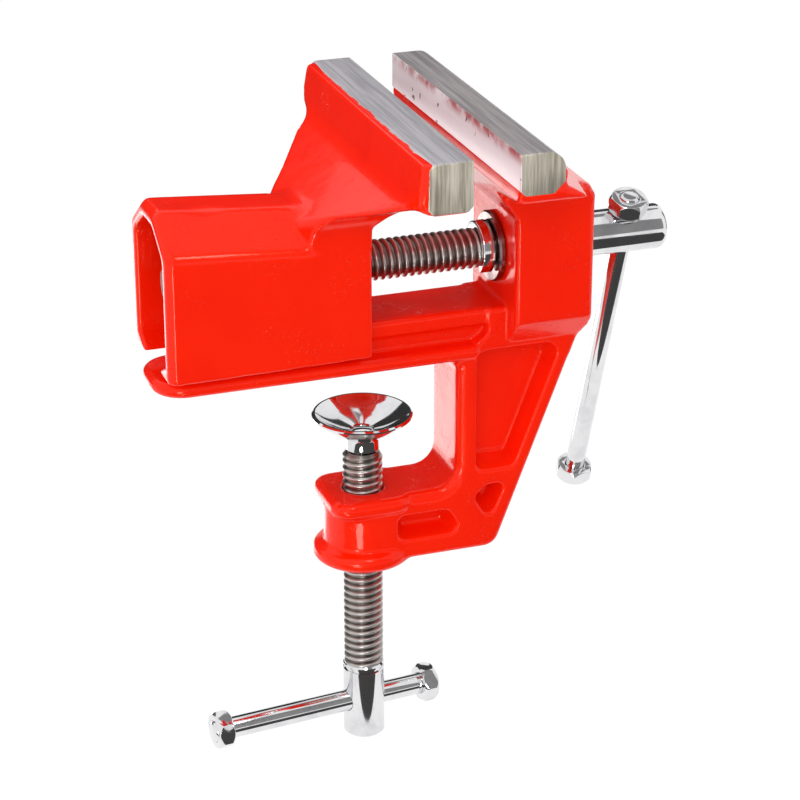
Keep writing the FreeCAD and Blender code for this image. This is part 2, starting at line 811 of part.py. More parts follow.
def main():
    os.makedirs("parts", exist_ok=True)
    save("base_casting", base_casting())
    save("fixed_jaw_bar", fixed_bar())
    save("sliding_jaw", sliding_jaw())
    save("sliding_jaw_bar", sliding_bar())
    save("lead_screw", lead_screw())
    save("thrust_washer", thrust_washer())
    save("retaining_ring", retaining_ring())
    bar, upper, lower = lead_handle()
    save("lead_handle_bar", bar)
    save("lead_handle_upper_nut", upper)
    save("lead_handle_lower_nut", lower)
    save("clamp_screw", clamp_screw())
    save("clamp_pad", clamp_pad())
    bar, left, right = clamp_handle()
    save("clamp_handle_bar", bar)
    save("clamp_handle_left_nut", left)
    save("clamp_handle_right_nut", right)


main()
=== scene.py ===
import json
import math

import bmesh
import bpy
from mathutils import Matrix, Vector, kdtree, noise


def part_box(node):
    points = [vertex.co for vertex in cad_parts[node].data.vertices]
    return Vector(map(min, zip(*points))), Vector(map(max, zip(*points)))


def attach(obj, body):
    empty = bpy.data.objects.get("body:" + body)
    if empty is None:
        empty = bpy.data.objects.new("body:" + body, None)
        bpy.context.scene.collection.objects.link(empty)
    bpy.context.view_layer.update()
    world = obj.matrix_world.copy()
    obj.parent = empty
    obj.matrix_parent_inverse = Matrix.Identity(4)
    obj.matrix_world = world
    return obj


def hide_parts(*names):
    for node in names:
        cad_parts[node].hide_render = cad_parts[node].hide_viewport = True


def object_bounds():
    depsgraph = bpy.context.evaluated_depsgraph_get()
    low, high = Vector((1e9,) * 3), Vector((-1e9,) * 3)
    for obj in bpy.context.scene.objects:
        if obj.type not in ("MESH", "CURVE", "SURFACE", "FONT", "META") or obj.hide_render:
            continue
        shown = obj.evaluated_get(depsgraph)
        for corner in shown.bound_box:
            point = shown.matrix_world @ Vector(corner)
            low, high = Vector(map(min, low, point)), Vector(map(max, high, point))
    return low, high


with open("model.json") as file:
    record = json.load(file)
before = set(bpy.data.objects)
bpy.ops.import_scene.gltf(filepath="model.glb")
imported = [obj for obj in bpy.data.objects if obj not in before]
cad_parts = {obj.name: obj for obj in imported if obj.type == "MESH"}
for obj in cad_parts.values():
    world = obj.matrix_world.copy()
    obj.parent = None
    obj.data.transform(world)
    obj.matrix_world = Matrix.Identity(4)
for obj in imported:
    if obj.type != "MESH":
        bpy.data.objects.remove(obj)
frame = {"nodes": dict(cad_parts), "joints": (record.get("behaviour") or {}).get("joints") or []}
nodes = frame["nodes"]
cadLow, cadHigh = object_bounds()
mm = 0.001
mergeDistance = 0.0005 * mm
alongX = Vector((1, 0, 0))
alongZ = Vector((0, 0, 1))
print("frame loaded:", len(nodes), "nodes")


# mesh helpers

def newObject(name, bm):
    # merged and facing outwards before it becomes an object
    bmesh.ops.remove_doubles(bm, verts=bm.verts, dist=mergeDistance)
    bmesh.ops.recalc_face_normals(bm, faces=bm.faces)
    mesh = bpy.data.meshes.new(name)
    bm.to_mesh(mesh)
    bm.free()
    obj = bpy.data.objects.new(name, mesh)
    bpy.context.scene.collection.objects.link(obj)
    return obj


def applied(obj):
    # the mesh with its modifiers worked in
    depsgraph = bpy.context.evaluated_depsgraph_get()
    mesh = bpy.data.meshes.new_from_object(obj.evaluated_get(depsgraph))
    obj.modifiers.clear()
    obj.data = mesh
    return obj


def shadeByAngle(obj, degrees):
    obj.data.shade_smooth()
    obj.data.set_sharp_from_angle(angle=math.radians(degrees))


def dress(obj, body, standsFor, material):
    obj.data.materials.clear()
    obj.data.materials.append(material)
    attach(obj, body)
    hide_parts(*standsFor)
    return obj


def copyOfNode(name):
    # a CAD node's loose triangles, merged
    bm = bmesh.new()
    bm.from_mesh(nodes[name].data)
    bmesh.ops.remove_doubles(bm, verts=bm.verts, dist=2 * mergeDistance)
    return bm


def inOrder(bm):
    # spin shuffles edges and faces from run to run, and dissolving depends on their order
    bm.verts.index_update()
    count = len(bm.verts)

    def place(item):
        lowest = sorted(v.index for v in item.verts)[:3]
        return sum(index / count ** power for power, index in enumerate(lowest))

    bm.edges.sort(key=place)
    bm.faces.sort(key=place)
    return bm


def turned(profile, start, axis, steps, closed=False):
    # profile is a list of (along, radius); a closed one goes round a ring's section
    bm = bmesh.new()
    side = axis.orthogonal().normalized()
    verts = [bm.verts.new(start + axis * along + side * radius) for along, radius in profile]
    pairs = list(zip(verts, verts[1:]))
    if closed:
        pairs.append((verts[-1], verts[0]))
    edges = [bm.edges.new(pair) for pair in pairs]
    bmesh.ops.spin(bm, geom=verts + edges, cent=start, axis=axis, dvec=(0, 0, 0), angle=math.tau,
                   steps=steps, use_merge=True, use_duplicate=False)
    inOrder(bm)
    bmesh.ops.remove_doubles(bm, verts=bm.verts, dist=mergeDistance)
    bmesh.ops.recalc_face_normals(bm, faces=bm.faces)
    return bm


def softened(bm, width, segments=2, fromAngle=28):
    limit = math.radians(fromAngle)
    sharp = [e for e in bm.edges if len(e.link_faces) == 2 and e.calc_face_angle() > limit]
    bmesh.ops.bevel(bm, geom=sharp, offset=width, offset_type="OFFSET", affect="EDGES", segments=segments,
                    profile=0.5, material=-1, clamp_overlap=True)
    return bm


def cutBy(obj, cutter, operation="DIFFERENCE"):
    mod = obj.modifiers.new("cut", "BOOLEAN")
    mod.operation = operation
    mod.solver = "EXACT"
    mod.object = cutter
    applied(obj)
    bpy.data.objects.remove(cutter)
    return obj


def addShell(bm, obj):
    # another closed shell joins the piece
    bm.from_mesh(obj.data)
    bpy.data.objects.remove(obj)
    return bm


# shader helpers and groups

def newGroup(name, inputs, outputs):
    group = bpy.data.node_groups.new(name, "ShaderNodeTree")
    for label, kind, value in inputs:
        socket = group.interface.new_socket(label, in_out="INPUT", socket_type=kind)
        if value is not None:
            socket.default_value = value
    for label, kind in outputs:
        group.interface.new_socket(label, in_out="OUTPUT", socket_type=kind)
    return group, group.nodes.new("NodeGroupInput"), group.nodes.new("NodeGroupOutput")


def addNode(tree, kind, settings=None, values=None):
    node = tree.nodes.new(kind)
    for key, value in (settings or {}).items():
        setattr(node, key, value)
    for key, value in (values or {}).items():
        node.inputs[key].default_value = value
    return node


def mathNode(tree, operation, a, b=None, clamp=False):
    node = addNode(tree, "ShaderNodeMath", {"operation": operation, "use_clamp": clamp})
    for index, value in enumerate((a, b)):
        if value is None:
            continue
        if isinstance(value, (int, float)):
            node.inputs[index].default_value = value
        else:
            tree.links.new(value, node.inputs[index])
    return node.outputs[0]


def mapped(tree, value, low, high, newLow=0.0, newHigh=1.0):
    node = addNode(tree, "ShaderNodeMapRange", {"interpolation_type": "SMOOTHSTEP"},
                   {"From Min": low, "From Max": high, "To Min": newLow, "To Max": newHigh})
    tree.links.new(value, node.inputs["Value"])
    return node.outputs["Result"]


def mixColour(tree, factor, a, b, blend="MIX"):
    node = addNode(tree, "ShaderNodeMix", {"data_type": "RGBA", "blend_type": blend})
    tree.links.new(factor, node.inputs["Factor"])
    for label, value in (("A", a), ("B", b)):
        socket = [s for s in node.inputs if s.name == label and s.type == "RGBA"][0]
        if isinstance(value, tuple):
            socket.default_value = (*value, 1)
        else:
            tree.links.new(value, socket)
    return [s for s in node.outputs if s.type == "RGBA"][0]


def noiseNode(tree, vector, scale, detail=4.0, roughness=0.55, distortion=0.0):
    node = addNode(tree, "ShaderNodeTexNoise", None,
                   {"Scale": scale, "Detail": detail, "Roughness": roughness, "Distortion": distortion})
    tree.links.new(vector, node.inputs["Vector"])
    return node.outputs["Fac"]


castSurface = {
    "waveScale": 180.0,
    "grainScale": 900.0,
    "grainShare": 0.16,
    "pitScale": 1100.0,
    "pitDepth": 0.4,
    "patchScale": 90.0,  # pits come in patches
    "mottleScale": 55.0,
}


def makeCastGroup():
    # rough iron under thick enamel: slow waves, fine orange peel and a few pits
    c = castSurface
    group, inside, outside = newGroup(
        "castSurface",
        [("Wave Scale", "NodeSocketFloat", c["waveScale"]),
         ("Grain Scale", "NodeSocketFloat", c["grainScale"])],
        [("Height", "NodeSocketFloat"), ("Mottle", "NodeSocketFloat")])
    coords = addNode(group, "ShaderNodeTexCoord").outputs["Object"]
    wave = addNode(group, "ShaderNodeTexNoise", None, {"Detail": 2.0, "Roughness": 0.5})
    grain = addNode(group, "ShaderNodeTexNoise", None, {"Detail": 3.0, "Roughness": 0.6})
    group.links.new(coords, wave.inputs["Vector"])
    group.links.new(coords, grain.inputs["Vector"])
    group.links.new(inside.outputs["Wave Scale"], wave.inputs["Scale"])
    group.links.new(inside.outputs["Grain Scale"], grain.inputs["Scale"])
    pits = mapped(group, noiseNode(group, coords, c["pitScale"], 2.0), 0.42, 0.34)
    patches = mapped(group, noiseNode(group, coords, c["patchScale"], 2.0), 0.46, 0.60)
    pits = mathNode(group, "MULTIPLY", mathNode(group, "MULTIPLY", pits, patches), c["pitDepth"])
    fine = mathNode(group, "MULTIPLY", grain.outputs["Fac"], c["grainShare"])
    height = mathNode(group, "SUBTRACT", mathNode(group, "ADD", wave.outputs["Fac"], fine), pits)
    group.links.new(height, outside.inputs["Height"])
    mottle = mapped(group, noiseNode(group, coords, c["mottleScale"], 3.0), 0.35, 0.68)
    group.links.new(mottle, outside.inputs["Mottle"])
    return group


def makeGrindGroup():
    # scratches left by a grinding belt: stretched noise, so the piece's mapping gives their direction
    group, inside, outside = newGroup(
        "grindMarks",
        [("Vector", "NodeSocketVector", None)],
        [("Height", "NodeSocketFloat"), ("Tone", "NodeSocketFloat")])
    vector = inside.outputs["Vector"]
    coarse = noiseNode(group, vector, 1.0, 3.0, 0.6)
    fine = noiseNode(group, vector, 3.4, 4.0, 0.7)
    height = mathNode(group, "ADD", mathNode(group, "MULTIPLY", coarse, 0.6),
                      mathNode(group, "MULTIPLY", fine, 0.4))
    group.links.new(height, outside.inputs["Height"])
    group.links.new(mapped(group, coarse, 0.3, 0.72), outside.inputs["Tone"])
    return group


def makeHazeGroup():
    # smudges and faint handling marks on plated steel
    group, inside, outside = newGroup(
        "plateHaze",
        [("Low", "NodeSocketFloat", 0.05), ("High", "NodeSocketFloat", 0.15)],
        [("Roughness", "NodeSocketFloat"), ("Tone", "NodeSocketFloat")])
    coords = addNode(group, "ShaderNodeTexCoord").outputs["Object"]
    smudge = mapped(group, noiseNode(group, coords, 160.0, 4.0, 0.6, 0.4), 0.35, 0.75)
    reach = mathNode(group, "SUBTRACT", inside.outputs["High"], inside.outputs["Low"])
    rough = mathNode(group, "ADD", mathNode(group, "MULTIPLY", smudge, reach), inside.outputs["Low"])
    group.links.new(rough, outside.inputs["Roughness"])
    group.links.new(smudge, outside.inputs["Tone"])
    return group


castGroup = makeCastGroup()
grindGroup = makeGrindGroup()
hazeGroup = makeHazeGroup()


def placed(tree, group, values=None):
    node = tree.nodes.new("ShaderNodeGroup")
    node.node_tree = group
    for key, value in (values or {}).items():
        node.inputs[key].default_value = value
    return node


def newMaterial(name, values):
    material = bpy.data.materials.new(name)
    material.use_nodes = True
    tree = material.node_tree
    shader = tree.nodes["Principled BSDF"]
    for key, value in values.items():
        shader.inputs[key].default_value = value
    return material, tree, shader


def bumped(tree, shader, height, distance, strength=1.0):
    bump = addNode(tree, "ShaderNodeBump", None, {"Distance": distance, "Strength": strength})
    tree.links.new(height, bump.inputs["Height"])
    tree.links.new(bump.outputs["Normal"], shader.inputs["Normal"])


enamel = {
    "colour": (0.97, 0.013, 0.0003),
    "deep": (0.84, 0.005, 0.0002),
    "roughness": 0.22,
    "specular": 0.22,
    "specularTint": (1.0, 0.72, 0.40, 1.0),
    "coat": 0.25,
    "coatRoughness": 0.05,
    "relief": 0.14 * mm,
    "mottle": 0.35,  # how far the deep tone mixes in
}


def makeEnamel():
    material, tree, shader = newMaterial("redEnamel", {
        "Roughness": enamel["roughness"], "Specular IOR Level": enamel["specular"],
        "Specular Tint": enamel["specularTint"],
        "Coat Weight": enamel["coat"], "Coat Roughness": enamel["coatRoughness"]})
    cast = placed(tree, castGroup)
    mottle = mathNode(tree, "MULTIPLY", cast.outputs["Mottle"], enamel["mottle"])
    colour = mixColour(tree, mottle, enamel["colour"], enamel["deep"])
    tree.links.new(colour, shader.inputs["Base Color"])
    bumped(tree, shader, cast.outputs["Height"], enamel["relief"])
    return material


plate = {
    "chrome": (0.80, 0.80, 0.81),
    "chromeShade": (0.66, 0.66, 0.68),
    "steel": (0.52, 0.50, 0.48),
    # the darker steel tone fills the thread grooves as painted shade
    "steelGrooveShade": (0.25, 0.21, 0.19),
    # the washer's dark steel is tinted red in both tones: painted reflection of the red castings
    "washer": (0.34, 0.24, 0.23),
    "washerShade": (0.17, 0.09, 0.085),
    "chromeHaze": {"Low": 0.04, "High": 0.13},  # roughness, from clean to smudged
    "threadHaze": {"Low": 0.28, "High": 0.44},
    "washerHaze": {"Low": 0.14, "High": 0.32},
}


def makePlated(name, kind):
    material, tree, shader = newMaterial(name, {"Metallic": 1.0})
    haze = placed(tree, hazeGroup, plate[kind + "Haze"])
    colour = mixColour(tree, haze.outputs["Tone"], plate[kind], plate[kind + "Shade"])
    tree.links.new(colour, shader.inputs["Base Color"])
    tree.links.new(haze.outputs["Roughness"], shader.inputs["Roughness"])
    return material


def makeThreadSteel(name, centre, flatten, outer, root):
    # grooves are darker and duller than the crests, the darker colour being painted shade in the grooves;
    # flatten drops the screw's own axis
    material, tree, shader = newMaterial(name, {"Metallic": 1.0})
    coords = addNode(tree, "ShaderNodeTexCoord").outputs["Object"]
    mapping = addNode(tree, "ShaderNodeMapping", {"vector_type": "POINT"}, {"Location": -centre})
    tree.links.new(coords, mapping.inputs["Vector"])
    flat = addNode(tree, "ShaderNodeVectorMath", {"operation": "MULTIPLY"})
    flat.inputs[1].default_value = flatten
    tree.links.new(mapping.outputs["Vector"], flat.inputs[0])
    length = addNode(tree, "ShaderNodeVectorMath", {"operation": "LENGTH"})
    tree.links.new(flat.outputs["Vector"], length.inputs[0])
    # crest runs from the painted shade in the grooves to the painted highlight on the crests
    crest = mapped(tree, length.outputs["Value"], root, outer)
    haze = placed(tree, hazeGroup, plate["threadHaze"])
    colour = mixColour(tree, crest, plate["steelGrooveShade"], plate["steel"])
    tree.links.new(colour, shader.inputs["Base Color"])
    tree.links.new(haze.outputs["Roughness"], shader.inputs["Roughness"])
    return material


redEnamel = makeEnamel()
chromePlate = makePlated("chromePlate", "chrome")
# the washer material carries a red tint that is painted reflection of the red castings
washerPaintedRedReflection = makePlated("washerPaintedRedReflection", "washer")
print("materials made")


# the two castings

casting = {
    "voxel": 0.32 * mm,
    "smoothing": 20,
    "faces": 150000,
    "headAbove": 34 * mm,  # only the jaw's head gets the passes below
    "acute": 58,  # degrees between the faces of an edge that gets extra smoothing
    "acutePasses": ((1.5 * mm, 30), (0.9 * mm, 20)),  # reach and rounds
    "innerFrom": 12,  # inner corners between these angles are filled out
    "innerTo": 100,
    "innerPasses": ((3.8 * mm, 50), (2.6 * mm, 40), (1.5 * mm, 30)),
    "coreSink": 0.22 * mm,  # the core in each bar's seat stays this far below the bare steel
    "coreLean": 0.12 * mm,
    "seatMargin": (0.9 * mm, 0.3 * mm),  # sideways and down: edges nearer to a bar's seat stay crisp
    "sampleStep": 0.5 * mm,
}


def barCore(barName, backwards):
    # a smaller copy of the steel bar fills its seat, so that the thin casting round it keeps its shape
    bm = copyOfNode(barName)
    lean, sink = backwards * casting["coreLean"], casting["coreSink"]
    ends = 1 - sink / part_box(barName)[1].y
    for v in bm.verts:
        v.co = Vector((v.co.x + lean, v.co.y * ends, v.co.z - sink))
    return newObject("core", bm)


def pointsAlong(edges):
    # a search tree of points along the edges
    points = []
    for e in edges:
        a, b = e.verts[0].co, e.verts[1].co
        count = max(1, int((b - a).length / casting["sampleStep"]))
        points += [a.lerp(b, i / count) for i in range(count + 1)]
    tree = kdtree.KDTree(len(points))
    for i, point in enumerate(points):
        tree.insert(point, i)
    tree.balance()
    return tree


def headEdges(bm, barName, sign, smallest, largest):
    # edges of the jaw's head that turn outwards (sign 1) or inwards (-1), away from the bar's seat
    low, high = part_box(barName)
    aside, below = casting["seatMargin"]
    found = []
    for e in bm.edges:
        if len(e.link_faces) != 2:
            continue
        angle = sign * math.degrees(e.calc_face_angle_signed())
        middle = (e.verts[0].co + e.verts[1].co) / 2
        inSeat = low.x - aside < middle.x < high.x + aside and middle.z > low.z - below
        if smallest < angle < largest and middle.z > casting["headAbove"] and not inSeat:
            found.append(e)
    return found


def smoothNear(bm, tree, passes):
    # an empty tree finds nothing, and then no vertex is near
    for reach, rounds in passes:
        near = [v for v in bm.verts if (tree.find(v.co)[2] or reach) < reach]
        for i in range(rounds):
            bmesh.ops.smooth_vert(bm, verts=near, factor=0.5, use_axis_x=True, use_axis_y=True,
                                  use_axis_z=True)


def makeCasting(name, nodeName, barName, backwards, body):
    bm = copyOfNode(nodeName)
    thin = pointsAlong(headEdges(bm, barName, 1, casting["acute"], 180))
    inner = pointsAlong(headEdges(bm, barName, -1, casting["innerFrom"], casting["innerTo"]))
    obj = newObject(name, addShell(bm, barCore(barName, backwards)))
    remesh = obj.modifiers.new("remesh", "REMESH")
    remesh.mode = "VOXEL"
    remesh.voxel_size = casting["voxel"]
    smooth = obj.modifiers.new("smooth", "SMOOTH")
    smooth.factor = 0.5
    smooth.iterations = casting["smoothing"]
    applied(obj)
    bm = bmesh.new()
    bm.from_mesh(obj.data)
    smoothNear(bm, thin, casting["acutePasses"])
    smoothNear(bm, inner, casting["innerPasses"])
    bm.to_mesh(obj.data)
    bm.free()
    fewer = obj.modifiers.new("fewer", "DECIMATE")
    fewer.ratio = min(1.0, casting["faces"] / (2 * len(obj.data.polygons)))
    applied(obj)
    obj.data.shade_smooth()
    print(name, len(obj.data.polygons), "faces")
    return dress(obj, body, [nodeName], redEnamel)


makeCasting("baseCasting", "base_casting", "fixed_jaw_bar", 1, "base")
makeCasting("slidingJaw", "sliding_jaw", "sliding_jaw_bar", -1, "sliding_jaw")


# ground steel jaw bars

jawBar = {
    "edge": 0.2 * mm,
    "cuts": 70,
    "raggedness": 0.12 * mm,
    "raggedDepth": (3.2 * mm, 3.0 * mm),  # the unevenness fades this far from the back and the top
    "raggedScales": (420, 1100),
    # enamel creeps over from the back
    "paintReach": {"sliding_jaw_bar": 0.5 * mm, "fixed_jaw_bar": 0.6 * mm},
    "paintWander": 1.6 * mm,
    "paintFade": 0.12 * mm,
    # from the ends inwards, the sliding bar's rounded back edge fills out
    "fullEdge": (1.0 * mm, 9.0 * mm),
    "fullShare": 0.93,
    "metallic": 0.6,
    # the fixed bar's top gets a darker tone of the same ground steel than the sliding bar's top: painted
    # shade
    "top": {"sliding_jaw_bar": ((0.86, 0.82, 0.87), (0.55, 0.53, 0.57)),
            "fixed_jaw_bar": ((0.60, 0.55, 0.56), (0.33, 0.30, 0.31))},
    "end": ((0.72, 0.67, 0.56), (0.30, 0.26, 0.20)),
    # on the fixed jaw's working face, from low to high; the pale pink low tone is a painted highlight of
    # white glare on the thin enamel
    "glareAndWash": ((0.82, 0.71, 0.73), (0.42, 0.07, 0.07)),
    "washShare": 0.75,
    "speck": (0.10, 0.03, 0.03),
    "marks": ((1500, 45, 1500), (1300, 1300, 60)),  # along Y on the top, up Z on the ends
    "markDepth": 0.03 * mm,
}


def makeBarSteel(name, barName, backwards):
    low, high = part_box(barName)
    material, tree, shader = newMaterial(name, {})
    coords = addNode(tree, "ShaderNodeTexCoord").outputs["Object"]
    parts = addNode(tree, "ShaderNodeSeparateXYZ")
    tree.links.new(coords, parts.inputs["Vector"])
    x, y, z = parts.outputs["X"], parts.outputs["Y"], parts.outputs["Z"]

    marks = []
    for scale in jawBar["marks"]:
        stretch = addNode(tree, "ShaderNodeMapping", {"vector_type": "POINT"}, {"Scale": scale})
        tree.links.new(coords, stretch.inputs["Vector"])
        group = placed(tree, grindGroup)
        tree.links.new(stretch.outputs["Vector"], group.inputs["Vector"])
        marks.append(group)
    fromMiddle = mathNode(tree, "ABSOLUTE", y)
    onEnd = mapped(tree, fromMiddle, high.y - 0.35 * mm, high.y - 0.25 * mm)
    tone = addNode(tree, "ShaderNodeMix", {"data_type": "FLOAT"})
    height = addNode(tree, "ShaderNodeMix", {"data_type": "FLOAT"})
    for node, label in ((tone, "Tone"), (height, "Height")):
        tree.links.new(onEnd, node.inputs[0])
        tree.links.new(marks[0].outputs[label], node.inputs[2])
        tree.links.new(marks[1].outputs[label], node.inputs[3])
    ground = mixColour(tree, tone.outputs[0], *jawBar["top"][barName])
    warm = mixColour(tree, tone.outputs[0], *jawBar["end"])
    steel = mixColour(tree, onEnd, ground, warm)

    # enamel creeps over the back edge in an uneven line
    back = high.x if backwards > 0 else low.x
    distance = mathNode(tree, "MULTIPLY", mathNode(tree, "SUBTRACT", back, x), float(backwards))
    centred = mathNode(tree, "SUBTRACT", noiseNode(tree, coords, 260.0, 4.0), 0.5)
    wander = mathNode(tree, "MULTIPLY", centred, jawBar["paintWander"])
    reach = jawBar["paintReach"][barName]
    offEnd = mathNode(tree, "MULTIPLY", onEnd, reach)
    edge = mathNode(tree, "ADD", mathNode(tree, "ADD", distance, offEnd), wander)
    paint = mapped(tree, edge, reach, reach - jawBar["paintFade"])
    return material, tree, shader, {"steel": steel, "height": height.outputs[0], "paint": paint,
                                    "coords": coords, "x": x, "z": z, "low": low, "high": high}


def finishBarSteel(tree, shader, colour, paint, height, under=enamel["colour"]):
    tree.links.new(mixColour(tree, paint, colour, under), shader.inputs["Base Color"])
    bare = mathNode(tree, "SUBTRACT", 1.0, paint)
    tree.links.new(mathNode(tree, "MULTIPLY", bare, jawBar["metallic"]), shader.inputs["Metallic"])
    tree.links.new(mapped(tree, paint, 0.0, 1.0, 0.38, 0.28), shader.inputs["Roughness"])
    bumped(tree, shader, height, jawBar["markDepth"])


def slidingBarSteel():
    material, tree, shader, got = makeBarSteel("slidingBarSteel", "sliding_jaw_bar", -1)
    finishBarSteel(tree, shader, got["steel"], got["paint"], got["height"])
    return material


def fixedBarSteel():
    # the working face keeps a thin worn wash of enamel, darker towards the top, with casting specks; its
    # pale pink low tone is painted glare
    material, tree, shader, got = makeBarSteel("fixedBarSteel", "fixed_jaw_bar", 1)
    coords, low, high = got["coords"], got["low"], got["high"]
    face = mapped(tree, got["x"], low.x + 0.2 * mm, low.x + 0.1 * mm)
    nearTop = mapped(tree, got["z"], high.z - 2.6 * mm, high.z - 0.2 * mm)
    cloud = mapped(tree, noiseNode(tree, coords, 150.0, 4.0, 0.6), 0.38, 0.62)
    # pale pink painted glare below, the darker enamel wash towards the top
    glareAndWash = mixColour(tree, mathNode(tree, "MULTIPLY", nearTop, cloud), *jawBar["glareAndWash"])
    specks = mapped(tree, noiseNode(tree, coords, 520.0, 1.0), 0.30, 0.26)
    glareAndWash = mixColour(tree, specks, glareAndWash, jawBar["speck"])
    colour = mixColour(tree, face, got["steel"], glareAndWash)
    washed = mathNode(tree, "MULTIPLY", face, jawBar["washShare"])
    finishBarSteel(tree, shader, colour, washed, got["height"], colour)
    return material


def makeJawBar(name, nodeName, body, backwards, material):
    bm = copyOfNode(nodeName)
    bmesh.ops.dissolve_limit(bm, angle_limit=math.radians(1), verts=bm.verts, edges=bm.edges)
    lengthwise = [e for e in bm.edges if abs((e.verts[0].co - e.verts[1].co).y) > 10 * mm]
    bmesh.ops.subdivide_edges(bm, edges=lengthwise, cuts=jawBar["cuts"], use_grid_fill=False)
    low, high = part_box(nodeName)
    back = high.x if backwards > 0 else low.x
    backDepth, topDepth = jawBar["raggedDepth"]
    wide, narrow = jawBar["raggedScales"]
    for v in bm.verts:
        nearBack = max(0.0, 1 - abs(v.co.x - back) / backDepth)
        nearTop = max(0.0, 1 - (high.z - v.co.z) / topDepth)
        inside = 1.0 if abs(v.co.y) < high.y - 0.1 * mm else 0.0
        if backwards < 0 and v.co.x < low.x + 2 * mm and v.co.z > high.z - 2 * mm:
            near, far = jawBar["fullEdge"]
            full = min(1.0, max(0.0, (high.y - abs(v.co.y) - near) / (far - near)))
            v.co.z += (high.z - v.co.z) * full * jawBar["fullShare"]
        shift = noise.noise(v.co * wide) + 0.6 * noise.noise(v.co * narrow)
        v.co.x -= backwards * abs(shift) * jawBar["raggedness"] * nearBack * nearTop * inside
    obj = newObject(name, softened(bm, jawBar["edge"], 2, 35))
    shadeByAngle(obj, 32)
    return dress(obj, body, [nodeName], material)


makeJawBar("slidingJawBar", "sliding_jaw_bar", "sliding_jaw", -1, slidingBarSteel())
makeJawBar("fixedJawBar", "fixed_jaw_bar", "base", 1, fixedBarSteel())
print("jaw bars made")


# threads

thread = {
    "pitch": 1.5 * mm,
    "outer": 4.0 * mm,
    "root": 3.35 * mm,
    "stepsPerTurn": 36,
    "weld": 0.004 * mm,  # joins each turn to the next
    "tipDrop": 0.3 * mm,  # how far the tip lies below the root
    "litCrestBand": 0.1 * mm,  # the crests are painted bright this far down: a painted highlight on the crests above the shaded grooves
    # one pitch from groove to groove: share of the pitch, share of the depth
    "shape": ((0.0, 0.0), (0.12, 0.0), (0.22, 0.3), (0.32, 0.86), (0.42, 1.0), (0.58, 1.0),
              (0.68, 0.86), (0.78, 0.3), (0.88, 0.0), (1.0, 0.0)),
}


def makeThread(start, axis, length, leadInAt):
    # the shape is spun up the axis, cut square at both ends and chamfered at one
    depth = thread["outer"] - thread["root"]
    turns = math.ceil(length / thread["pitch"]) + 2
    origin = start - axis * thread["pitch"] * 1.5
    side = axis.orthogonal().normalized()
    bm = bmesh.new()
    verts = [bm.verts.new(origin + axis * thread["pitch"] * t + side * (thread["root"] + depth * r))
             for t, r in thread["shape"]]
    edges = [bm.edges.new(pair) for pair in zip(verts, verts[1:])]
    steps = thread["stepsPerTurn"]
    bmesh.ops.spin(bm, geom=verts + edges, cent=origin, axis=axis, dvec=axis * thread["pitch"] / steps,
                   angle=math.tau * turns, steps=steps * turns, use_merge=False, use_duplicate=False)
    inOrder(bm)
    bmesh.ops.remove_doubles(bm, verts=bm.verts, dist=thread["weld"])
    for point, outward in ((start, -axis), (start + axis * length, axis)):
        bmesh.ops.bisect_plane(bm, geom=bm.verts[:] + bm.edges[:] + bm.faces[:], dist=0.0001 * mm,
                               plane_co=point, plane_no=outward, clear_outer=True)
        rim = [e for e in bm.edges if e.is_boundary and abs((e.verts[0].co - point).dot(axis)) < 0.01 * mm]
        bmesh.ops.contextual_create(bm, geom=rim)
    tip = start if leadInAt == "start" else start + axis * length
    for v in bm.verts:
        along = abs((v.co - tip).dot(axis))
        offset = v.co - tip - axis * (v.co - tip).dot(axis)
        limit = thread["root"] - thread["tipDrop"] + along
        if offset.length > limit:
            v.co -= offset.normalized() * (offset.length - limit)
    return bm


def rodCutter(diameter, start, end):
    axis = (end - start).normalized()
    length = (end - start).length
    profile = [(0, 0), (0, diameter / 2), (length, diameter / 2), (length, 0)]
    return newObject("cutter", turned(profile, start, axis, 48))


def chromeWhere(obj, wanted):
    # the faces that are polished instead of threaded
    obj.data.materials.append(chromePlate)
    for face in obj.data.polygons:
        if wanted(face.center):
            face.material_index = 1


# handles: bar, end nuts

handle = {
    "boreClearance": 0.16 * mm,
    "nutThickness": 3.2 * mm,
    "nutFlats": 7.0 * mm,
    "nutChamfer": 0.9 * mm,
    "nutEdge": 0.12 * mm,
    "nutBoreClearance": 0.1 * mm,
    "dome": 0.5 * mm,
    "domeEdge": 0.18 * mm,
    "cutReach": 9 * mm,
}


def barLine(nodeName, tilt):
    # the bar's two ends, from its CAD box and its direction
    low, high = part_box(nodeName)
    middle = (low + high) / 2
    size = high - low
    if abs(tilt.z) > 0.5:
        length = (size.z - handleDiameter(nodeName) * math.hypot(tilt.x, tilt.y)) / abs(tilt.z)
    else:
        length = (size.x - handleDiameter(nodeName) * math.hypot(tilt.y, tilt.z)) / abs(tilt.x)
    return middle - tilt * length / 2, middle + tilt * length / 2


def handleDiameter(nodeName):
    low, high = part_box(nodeName)
    return (high - low).x if nodeName.startswith("lead") else (high - low).z


def makeHandleBar(name, nodeName, start, end, body):
    axis = (end - start).normalized()
    length = (end - start).length
    radius = handleDiameter(nodeName) / 2
    profile = [(0, 0), (0, radius - handle["dome"]), (handle["dome"], radius),
               (length - handle["dome"], radius), (length, radius - handle["dome"]), (length, 0)]
    obj = newObject(name, softened(turned(profile, start, axis, 56), handle["domeEdge"], 2))
    shadeByAngle(obj, 40)
    return dress(obj, body, [nodeName], chromePlate)


